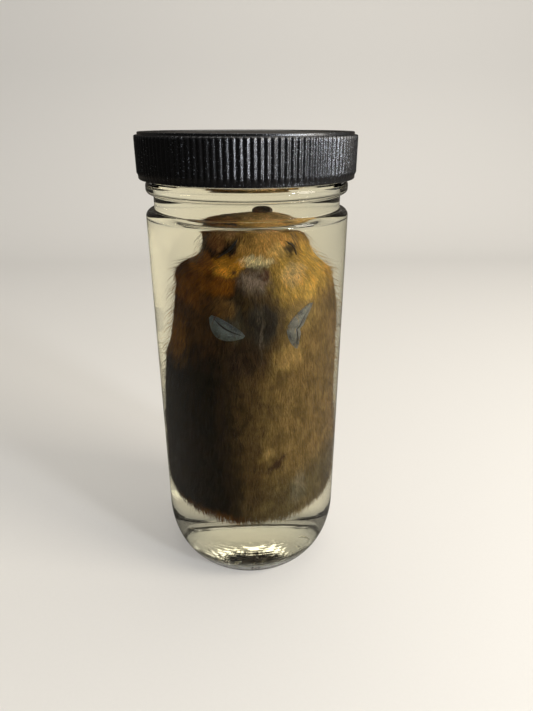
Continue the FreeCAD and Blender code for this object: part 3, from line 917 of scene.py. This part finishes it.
class BodyForm:
    """The animal's body as a smooth surface of an angle and a run from rump to muzzle.

    The angle is 0 towards +X and -90 degrees towards the back, which faces -Y. The run
    counts stations: 0 is the lowest, and the last is the muzzle's tip.
    """

    def __init__(self, stations: Sequence[Sequence[float]], swells: Sequence[Swell]) -> None:
        self.rows = np.array(stations)
        self.swells = swells
        self.last = len(stations) - 1

    def row(self, run: Array) -> Array:
        """Return the body's sizes at any run, on a smooth curve through the stations."""
        run = np.clip(np.asarray(run, float), 0.0, self.last - 1e-6)
        at = np.floor(run).astype(int)
        part = (run - at)[:, None]
        before, start = self.rows[np.maximum(at - 1, 0)], self.rows[at]
        end, after = self.rows[at + 1], self.rows[np.minimum(at + 2, self.last)]
        leave, arrive = (end - before) / 2, (after - start) / 2
        square, cube = part**2, part**3
        return (
            (2 * cube - 3 * square + 1) * start
            + (cube - 2 * square + part) * leave
            + (3 * square - 2 * cube) * end
            + (cube - square) * arrive
        )

    def skin(self, angle: Array, run: Array) -> Array:
        """Return points of the skin, in millimetres."""
        level, across, half_width, along, back, belly = self.row(run).T
        depth = np.where(np.sin(angle) < 0, back, belly)
        outward = np.column_stack([np.cos(angle), np.sin(angle), np.zeros_like(angle)])
        middle = np.column_stack([across, along, level])
        points = middle + outward * np.column_stack([half_width, depth, level])
        for swell in self.swells:
            away = (points - swell.centre) / swell.reach
            points = points + outward * (swell.height * np.exp(-(away**2).sum(axis=1)))[:, None]
        return points

    def normal(self, angle: Array, run: Array) -> Array:
        """Return the outward unit normals of the skin."""
        turn = self.skin(angle + 0.01, run) - self.skin(angle - 0.01, run)
        climb = self.skin(angle, run + 0.01) - self.skin(angle, run - 0.01)
        return unit(np.cross(turn, climb))

    def lifted(self, across: Sequence[float], level: Sequence[float], height: Sequence[float]) -> Array:
        """Return places over the back, from X and Z, at heights above the skin."""
        runs = np.linspace(0.0, self.last, 800)
        run = np.interp(level, self.row(runs)[:, 0], runs)
        row = self.row(run)
        angle = -np.arccos(np.clip((np.asarray(across) - row[:, 1]) / row[:, 2], -0.98, 0.98))
        return self.skin(angle, run) + self.normal(angle, run) * np.asarray(height)[:, None]

    def grid(self, sides: int, rows: int) -> Mesh:
        """Return the skin as a closed mesh."""
        runs = np.linspace(0.02, self.last - 0.02, rows)
        points = self.skin(np.tile(round_angles(sides), rows), np.repeat(runs, sides))
        return points, ring_faces(sides, rows)


@dataclass(frozen=True)
class Hair:
    """One stretch of the coat: how many hairs, how long, and how they lie.

    The run is the stretch of the body they grow on, in stations. The lift is how steeply
    a hair leaves the skin, in degrees, and the stray how far it turns from its neighbours.
    """

    name: str
    count: int
    run: Pair
    length: Pair
    width: float
    lift: float
    stray: float
    seed: int


HAIRS = (
    Hair("rump_fur", 36000, (1.2, 6.0), (5.6, 6.4), 0.17, 12.0, 9.0, SEED),
    Hair("trunk_fur", 36000, (5.5, 10.5), (6.4, 5.0), 0.17, 10.0, 8.0, SEED + 1),
    Hair("head_fur", 40000, (10.0, 22.6), (4.6, 2.0), 0.13, 10.0, 9.0, SEED + 2),
    Hair("guard_hairs", 9000, (1.2, 19.0), (7.0, 4.6), 0.10, 30.0, 14.0, SEED + 3),
)


@dataclass
class Coat:
    """Grows the hairs of the coat as tapered blades that lie along the body."""

    form: BodyForm
    material: Material
    steps: tuple[float, ...] = (0.0, 0.4, 0.75, 1.0)
    widths: tuple[float, ...] = (0.75, 1.0, 0.65)
    sunk: float = 0.25
    fan_level: float = 96.0
    fan_climb: float = 20.0
    fan_across: float = 3.6
    fan_slope: float = 0.9 / 22.0

    def roots(self, hair: Hair, chance: Chance) -> tuple[Array, Array]:
        """Return angles and runs spread evenly over the skin's area."""
        sides, rows = 120, 160
        angles, turn = np.linspace(-math.pi, math.pi, sides, endpoint=False, retstep=True)
        runs, climb = np.linspace(*hair.run, rows, endpoint=False, retstep=True)
        cell_angle, cell_run = np.tile(angles, rows), np.repeat(runs, sides)
        corner = self.form.skin(cell_angle, cell_run)
        along = self.form.skin(cell_angle + turn, cell_run) - corner
        up = self.form.skin(cell_angle, cell_run + climb) - corner
        area = np.linalg.norm(np.cross(along, up), axis=1)
        cell = chance.choice(len(area), size=hair.count, p=area / area.sum())
        angle = cell_angle[cell] + turn * chance.random(hair.count)
        return angle, cell_run[cell] + climb * chance.random(hair.count)

    def flow(self, points: Array, normals: Array, chance: Chance, stray: float):
        """Return the direction each hair lies in: down the body, fanning over the head."""
        across, _, level = points.T
        on_head = np.clip((level - self.fan_level) / self.fan_climb, 0.0, 1.0)
        fan = (across - self.fan_across) * self.fan_slope * on_head
        waves = 0.14 * np.sin(level * 0.33 + across * 0.21) + 0.10 * np.sin(across * 0.9 - level * 0.17)
        way = np.column_stack([fan + waves, np.zeros(len(points)), -np.ones(len(points))])
        way += np.tan(math.radians(stray)) * chance.normal(size=way.shape) * (1.0, 1.0, 0.4)
        return unit(way - (way * normals).sum(axis=1, keepdims=True) * normals)

    def build(self, hair: Hair) -> None:
        """Make one stretch of the coat as one mesh that carries each hair's tone and reach."""
        chance = np.random.default_rng(hair.seed)
        count = hair.count
        angle, run = self.roots(hair, chance)
        root, normal = self.form.skin(angle, run), self.form.normal(angle, run)
        way = self.flow(root, normal, chance, hair.stray)
        length = np.interp(run, hair.run, hair.length) * chance.uniform(0.65, 1.2, count)
        lift = np.tan(np.radians(hair.lift * chance.uniform(0.5, 1.6, count)))
        roll = chance.normal(0.0, 0.45, count)
        side = np.cross(way, normal)
        broad = side * np.cos(roll)[:, None] + normal * np.sin(roll)[:, None]
        bend = chance.normal(0.0, 0.09, count)
        rows = []
        for share, width in zip(self.steps, (*self.widths, 0.0)):
            middle = (
                root
                - self.sunk * normal
                + way * (length * share)[:, None]
                + normal * (length * lift * (share - 0.45 * share**2))[:, None]
                + side * (length * bend * share**2)[:, None]
            )
            half = broad * (hair.width / 2 * width)
            rows += [middle - half, middle + half] if width else [middle]
        points = np.stack(rows, axis=1)
        each = len(rows)
        first = np.arange(count)[:, None] * each
        quads = (first[:, :, None] + np.array([(0, 1, 3, 2), (2, 3, 5, 4)])).reshape(-1, 4)
        faces = [*quads.tolist(), *(first + (4, 5, 6)).tolist()]
        piece = add_piece(hair.name, (points.reshape(-1, 3), faces), Slot.FUR, self.material)
        tone = np.repeat(np.clip(chance.normal(0.45, 0.24, count), 0.0, 1.0), each)
        reach = np.tile(np.repeat(self.steps, 2)[:each], count)
        for name, amounts in (("tone", tone), ("reach", reach)):
            layer = piece.data.attributes.new(name, "FLOAT", "POINT")
            layer.data.foreach_set("value", amounts.astype(np.float32))


@dataclass(frozen=True)
class Ear:
    """A small folded ear lying on the fur: a leaf of skin with a groove and a crease where it folds."""

    node: str
    root: Pair
    tip: Pair
    width: float
    fold: float
    crease: float
    thickness: float = 0.55
    steps: int = 26
    spans: int = 15

    def build(self, form: BodyForm, skin: Material, shadow: Material) -> None:
        """Make the ear as a thin closed shell, and a painted shadow line where it folds.

        Args:
            form: The body it lies on.
            skin: The ear's finish.
            shadow: The finish of the painted shadow line in the fold.
        """
        steps, spans = self.steps, self.spans
        along = np.array(self.tip) - self.root
        length = np.linalg.norm(along)
        along = along / length
        over = np.array((-along[1], along[0]))
        run, span = np.repeat(np.linspace(0, 1, steps), spans), np.tile(np.linspace(-1, 1, spans), steps)
        swell = np.sin(np.pi * run)
        half = self.width / 2 * np.sin(np.pi * np.clip(run, 0.02, 0.985)) ** 0.62
        offset = half * span - 0.16 * length * swell
        flat = self.root + along * (run * length)[:, None] + over * offset[:, None]
        slit = np.exp(-(((span - self.fold) / 0.13) ** 2)) * 0.6 * swell**0.5
        crimp = np.exp(-(((run - self.crease) / 0.06) ** 2)) * 1.1
        height = 0.9 + 1.3 * (1 - span**2) * swell - slit - crimp
        top = form.lifted(*flat.T, height)
        points = np.vstack([top, form.lifted(*flat.T, height - self.thickness)])
        faces, under = [], steps * spans
        for step in range(steps - 1):
            for here in range(step * spans, (step + 1) * spans - 1):
                quad = (here, here + 1, here + spans + 1, here + spans)
                faces += [quad[::-1], tuple(corner + under for corner in quad)]
        rim = [
            *range(0, under, spans),
            *range(under - spans + 1, under),
            *range(under - spans - 1, spans - 2, -spans),
            *range(spans - 2, 0, -1),
        ]
        for here, there in zip(rim, rim[1:] + rim[:1]):
            faces.append((here, there, there + under, here + under))
        piece = add_piece(f"{self.node}_flap", (points, faces), Slot.SKIN, skin)
        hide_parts(self.node)
        # The dark tube along the fold is painted shade where the fold's shadow falls.
        line = top.reshape(steps, spans, 3)[2:-1, round((self.fold + 1) / 2 * (spans - 1))]
        radii = 0.06 + 0.36 * np.sin(np.pi * np.linspace(0, 1, len(line)))
        add_piece(f"{self.node}_fold_shadow_line", tube(line, radii, 6), Slot.SKIN, shadow)


@dataclass(frozen=True)
class Paw:
    """A paw folded on the belly: a pad, four toes and their claws."""

    node: str
    up: int

    def build(self, skin: Material, horn: Material) -> None:
        """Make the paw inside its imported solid's box, with its toes up (1) or down (-1)."""
        low, high = (np.array(corner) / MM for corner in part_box(self.node))
        (across, _, level), (half, _, tall) = (low + high) / 2, (high - low) / 2
        depth = low[1] + 1.5
        knuckle = level + self.up * tall * 0.1
        wrist, palm = (across, depth, level - self.up * tall * 0.85), (across, depth, knuckle)
        radii = np.array((0.4, 1.0, 1.35, 1.6, 1.5, 1.0)) * half * 0.52
        parts, claws = [tube(np.linspace(wrist, palm, 6), radii, 12)], []
        for share in (-1.0, -1 / 3, 1 / 3, 1.0):
            start = (across + share * half * 0.5, depth, knuckle - self.up)
            end_level = level + self.up * tall * (0.86 - 0.14 * share**2)
            end = np.array((across + share * half * 0.78, depth + 0.3, end_level))
            radii = np.array((0.75, 0.9, 0.72, 0.85, 0.8, 0.35)) * half * 0.24
            parts.append(tube(np.linspace(start, end, 6), radii, 10))
            point = end + (0.0, 0.5, self.up * tall * 0.12)
            claws.append(tube(np.linspace(end, point, 4), (0.3, 0.24, 0.14, 0.03), 6))
        piece = add_piece(f"{self.node}_skin", joined(parts), Slot.SKIN, skin)
        smooth = piece.modifiers.new("rounded", "SUBSURF")
        smooth.levels = smooth.render_levels = 1
        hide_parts(self.node)
        add_piece(f"{self.node}_claws", joined(claws), Slot.SKIN, horn)


@dataclass
class Specimen:
    """The whole animal: body, coat, ears, closed eyes, nose, whiskers and paws."""

    form: BodyForm

    def build(self) -> None:
        """Make the animal's pieces in order, from the skin outwards."""
        form = self.form
        fur, skin, horn = Fur().make(), BareSkin().make(), Horn().make()
        # This dark skin is the eyelids' own colour and also the painted shadow in the ears' folds.
        lids_and_fold_shadow = BareSkin("eyelid_and_fold_shadow_skin", "22201f", "0c0c0e", "302c2a").make()
        paws = BareSkin("paw_skin", "6a5a50", "3a302a", "8a7a6c").make()
        lit_ear = BareSkin("lit_ear_skin", "827e74", "46443c", "bab8ae").make()
        body = add_piece("animal_body", form.grid(144, 260), Slot.FUR, fur)
        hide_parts("specimen_trunk", "specimen_head")
        for hair in HAIRS:
            Coat(form, fur).build(hair)
        Ear("left_ear", (-10.8, 108.8), (-1.4, 102.8), 6.6, 0.42, 9.0).build(form, skin, lids_and_fold_shadow)
        Ear("right_ear", (17.8, 112.0), (13.8, 97.0), 4.4, 0.3, 0.56).build(form, lit_ear, lids_and_fold_shadow)
        self._eyelid("left_eyelid", (-7.9, 127.6), (-2.8, 133.6), lids_and_fold_shadow)
        self._eyelid("right_eyelid", (10.3, 132.6), (12.9, 127.9), lids_and_fold_shadow)
        self._nose()
        self._whiskers(horn)
        for foot, up in (("forepaw", -1), ("hind_foot", 1)):
            for side in ("left", "right"):
                Paw(f"{side}_{foot}", up).build(paws, horn)

    def _eyelid(self, name: str, start: Pair, end: Pair, lids_and_fold_shadow: Material) -> None:
        """Lay the dark closed slit of an eye in its hollow."""
        share = np.linspace(0, 1, 14)
        arch = np.sin(np.pi * share)
        across, level = np.linspace(start, end, 14).T
        path = self.form.lifted(across + 0.7 * arch, level + 0.42 * arch, np.full(14, 0.2))
        add_piece(name, tube(path, 0.1 + 0.3 * arch, 8), Slot.SKIN, lids_and_fold_shadow)

    def _nose(self) -> None:
        """Set the small dark nose pad, with its nostrils and cleft, on the muzzle."""
        sides, rows = 40, 20
        turn = np.tile(round_angles(sides), rows)
        tilt = np.repeat(np.linspace(-math.pi / 2, math.pi / 2, rows), sides)
        ball = np.column_stack([np.cos(tilt) * np.cos(turn), np.cos(tilt) * np.sin(turn), np.sin(tilt)])
        for nostril in ((0.5, -0.45, 0.6), (-0.5, -0.45, 0.6)):
            near = np.exp(-(((ball - nostril) / 0.28) ** 2).sum(axis=1))
            ball = ball * (1 - 0.35 * near)[:, None]
        cleft = np.exp(-((ball[:, 0] / 0.1) ** 2)) * (ball[:, 1] < 0)
        points = ball * (1 - 0.12 * cleft)[:, None] * (2.7, 2.3, 1.5) + (3.8, -1.6, 141.4)
        skin = BareSkin("nose_skin", "5c4436", "2e211a", "6e5444").make()
        piece = add_piece("nose_leather", (points, ring_faces(sides, rows, closed=False)), Slot.SKIN, skin)
        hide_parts("nose_pad")

    def _whiskers(self, horn: Material) -> None:
        """Let nine whiskers sweep down from each side of the muzzle."""
        chance = np.random.default_rng(SEED + 9)
        share = np.linspace(0, 1, 10)[:, None]
        parts = []
        for side in [-1] * 9 + [1] * 9:
            level = 136.5 + chance.uniform(-2.0, 3.0)
            start = self.form.lifted([0.8 + side * 10.2], [level], [0.0])[0]
            reach = chance.uniform(7.0, 12.0)
            out = np.array((side * 0.55, -0.35 + chance.uniform(-0.3, 0.3), -0.75))
            path = start + out * reach * share + np.array((-side * 1.6, 0.0, -2.0)) * share**2
            parts.append(tube(path, np.linspace(0.07, 0.015, 10), 5))
        add_piece("whiskers", joined(parts), Slot.FUR, horn)


@dataclass
class Sediment:
    """Flakes, a thread and dark grains that have settled on the glass floor.

    The curl, the thread, the specks and the beads have places on the front of the heel, by
    their X and Z. The flakes and grains lie by chance.
    """

    jar: Jar
    clearance: float = 0.25
    lie: float = 0.3
    flakes: int = 20
    grains: int = 8
    curl: Sequence[Pair] = ((-9, 9.4), (-7.6, 8.6), (-6, 8.4), (-5.2, 9.6), (-6.4, 10.2), (-4, 11))
    thread: Sequence[Pair] = ((-16.5, 14), (-13.5, 11), (-9.8, 7.4))
    specks: Sequence[Pair] = ((-5.6, 6.2), (7.6, 7), (17.6, 13.4), (-12, 8.6))
    beads: Sequence[Pair] = ((0, 5.6), (2.4, 5.6), (1.2, 5.2))

    def build(self) -> None:
        """Lay the flakes and the grains, most of them towards the front."""
        chance = np.random.default_rng(SEED + 5)
        pale = BareSkin("pale_flake", "f6eed6", "dccfa4", "fffaf0").make()
        dark = BareSkin("dark_grain", "3c2c1c", "14100c", "4c3a28").make()
        share = np.linspace(-1, 1, 8)[:, None]
        parts = []
        for _ in range(self.flakes):
            centre = self._spot(chance, 0.5)
            size = chance.uniform(0.5, 1.5)
            turn, lean, _ = chance.uniform(0.0, 2 * math.pi, 3)
            heading = np.array((math.cos(turn), math.sin(turn), 0.15))
            curl = np.array((-math.sin(turn), math.cos(turn), 0.3)) * math.sin(lean)
            radii = 0.05 + 0.16 * (1 - share[:, 0] ** 2) * chance.uniform(0.5, 1.0)
            parts.append(tube(centre + size * (heading * share + curl * share**2), radii, 6))
        for places, radius in ((self.curl, 0.22), (self.thread, 0.12)):
            parts.append(tube(self._heel(places), np.full(len(places), radius), 6))
        parts += [self._grain(place, 0.35) for place in self._heel(self.specks)]
        add_piece("settled_flakes", joined(parts), Slot.FUR, pale)
        parts = []
        for _ in range(self.grains):
            parts.append(self._grain(self._spot(chance, 0.2), chance.uniform(0.18, 0.42)))
        parts += [self._grain(place, 0.55) for place in self._heel(self.beads)]
        add_piece("settled_grains", joined(parts), Slot.FUR, dark)

    @staticmethod
    def _grain(centre: Array, size: float) -> Mesh:
        """Return a small grain, longer across than it is high."""
        share = np.linspace(-1, 1, 7)
        path = centre + np.outer(share * size, (1.0, 0.3, 0.1))
        return tube(path, 0.8 * size * np.sqrt(np.clip(1.02 - share**2, 0.0, 1.0)), 8)

    def _heel(self, places: Sequence[Pair]) -> Array:
        """Return places on the front of the inside of the glass heel, from X and Z."""
        across, level = np.array(places).T
        jar = self.jar
        drop = np.clip((jar.heel_height - level) / (jar.heel_height - jar.floor), 0.0, 1.0)
        width = jar.heel_width - jar.wall / 2
        start = jar.radius - jar.wall - width - self.clearance
        radius = start + width * np.sqrt(1.0 - drop**2)
        return np.column_stack([across, -np.sqrt(radius**2 - across**2), level])

    def _spot(self, chance: Chance, height: float) -> Array:
        """Return a place on the glass floor by chance, near the front half of its heel."""
        turn = chance.normal(-math.pi / 2 - 0.15, 0.75)
        radius = chance.uniform(15.0, 25.0)
        share = max(0.0, (radius - 21.0) / 11.0)
        bottom = self.jar.floor + self.lie + height
        level = bottom + (self.jar.heel_height - self.jar.floor) * (1 - math.sqrt(max(0.0, 1 - share**2)))
        return np.array((radius * math.cos(turn), radius * math.sin(turn), level))


# --- Studio ---


def placed(name: str, data: bpy.types.ID, place: Place, turn: Sequence[float]) -> bpy.types.Object:
    """Link a lamp or a camera into the scene at a place, turned."""
    item = bpy.data.objects.new(name, data)
    item.location = place
    item.rotation_euler = turn
    bpy.context.scene.collection.objects.link(item)
    return item


@dataclass(frozen=True)
class Lamp:
    """One soft lamp: where it stands, how wide it is and what it gives."""

    name: str
    place: Place
    aim: Place
    width: float
    height: float
    watts: float
    colour: str

    def build(self) -> None:
        """Hang the lamp and turn it to what it lights."""
        light = bpy.data.lights.new(self.name, "AREA")
        light.shape = "RECTANGLE"
        light.size, light.size_y = self.width, self.height
        light.energy = self.watts
        light.color = linear(self.colour)[:3]
        way = Vector(self.aim) - Vector(self.place)
        placed(self.name, light, self.place, way.to_track_quat("-Z", "Y").to_euler())


@dataclass
class Studio:
    """Camera, lamps, pale floor with its curved backdrop, and the soft light all round."""

    lens: float = 27.01
    eye: Place = (0.0, -0.19046, 0.16834)
    pitch: float = 23.68
    yaw: float = -1.99
    floor_half: float = 1.2
    wall_at: float = 0.75
    cove: float = 0.25
    wall_top: float = 1.6
    bright_side: Place = (0.62, 0.38, 0.68)
    room: str = "f4f2ee"
    backdrop: float = 0.85

    def build(self) -> None:
        """Set up everything that isn't part of the object."""
        self._camera()
        self._paper()
        self._world()
        for lamp in (
            Lamp("key", (0.72, -0.31, 0.46), (0.0, 0.0, 0.08), 0.33, 0.50, 7.6, "fff9f0"),
            Lamp("window", (0.50, -0.46, 0.24), (0.0, 0.0, 0.10), 0.08, 0.12, 3.8, "eef4ff"),
            Lamp("top", (0.12, 0.25, 0.85), (0.0, 0.0, 0.08), 0.7, 0.6, 2.6, "fffaf2"),
        ):
            lamp.build()
        bpy.context.scene.view_settings.view_transform = "Standard"

    def _camera(self) -> None:
        """Stand the camera close in front of the jar, looking down at it."""
        data = bpy.data.cameras.new("camera")
        data.lens = self.lens
        data.clip_start = 0.01
        turn = (math.radians(90 - self.pitch), 0.0, math.radians(self.yaw))
        bpy.context.scene.camera = placed("camera", data, self.eye, turn)

    def _paper(self) -> None:
        """Lay the paper flat under the jar and curve it up behind."""
        cove = arc((self.wall_at - self.cove, self.cove), self.cove, -90, 0, 16)
        line = [(-self.floor_half, 0.0), *cove, (self.wall_at, self.wall_top)]
        points = [(side * self.floor_half, along, up) for along, up in line for side in (-1, 1)]
        faces = [(2 * step, 2 * step + 1, 2 * step + 3, 2 * step + 2) for step in range(len(line) - 1)]
        paper = mesh_object("paper", (np.array(points) / MM, faces))
        paper.data.materials.append(StudioPaper().make())

    def _world(self) -> None:
        """Light the room softly, brighter from the right than from the left."""
        world = bpy.data.worlds.new("room")
        world.use_nodes = True
        world.node_tree.nodes.clear()
        add = partial(add_node, world.node_tree)
        way = add("TexCoord", {})["Generated"]
        towards = add("VectorMath", {0: way, 1: self.bright_side}, operation="DOT_PRODUCT")["Value"]
        light = add("MapRange", {"Value": towards, 1: -0.6, 2: 1, 3: 0.04, 4: 0.7})[0]
        seen = add("LightPath", {})["Is Camera Ray"]
        strength = add("Mix", {0: seen, 2: light, 3: self.backdrop})[0]
        shader = add("Background", {"Color": self.room, "Strength": strength})[0]
        add("OutputWorld", {"Surface": shader})
        bpy.context.scene.world = world


def main() -> None:
    """Build the studio and every piece of the object in order."""
    logging.basicConfig(level=logging.INFO, format="%(name)s: %(message)s")
    Studio().build()
    thread = Thread(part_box("glass_jar")[1].z / MM)
    jar = Jar(thread)
    jar.build()
    Fluid(jar).build()
    Specimen(BodyForm(STATIONS, SWELLS)).build()
    Sediment(jar).build()
    Liner().build()
    Cap(thread).build()


if __name__ == "__main__":
    main()
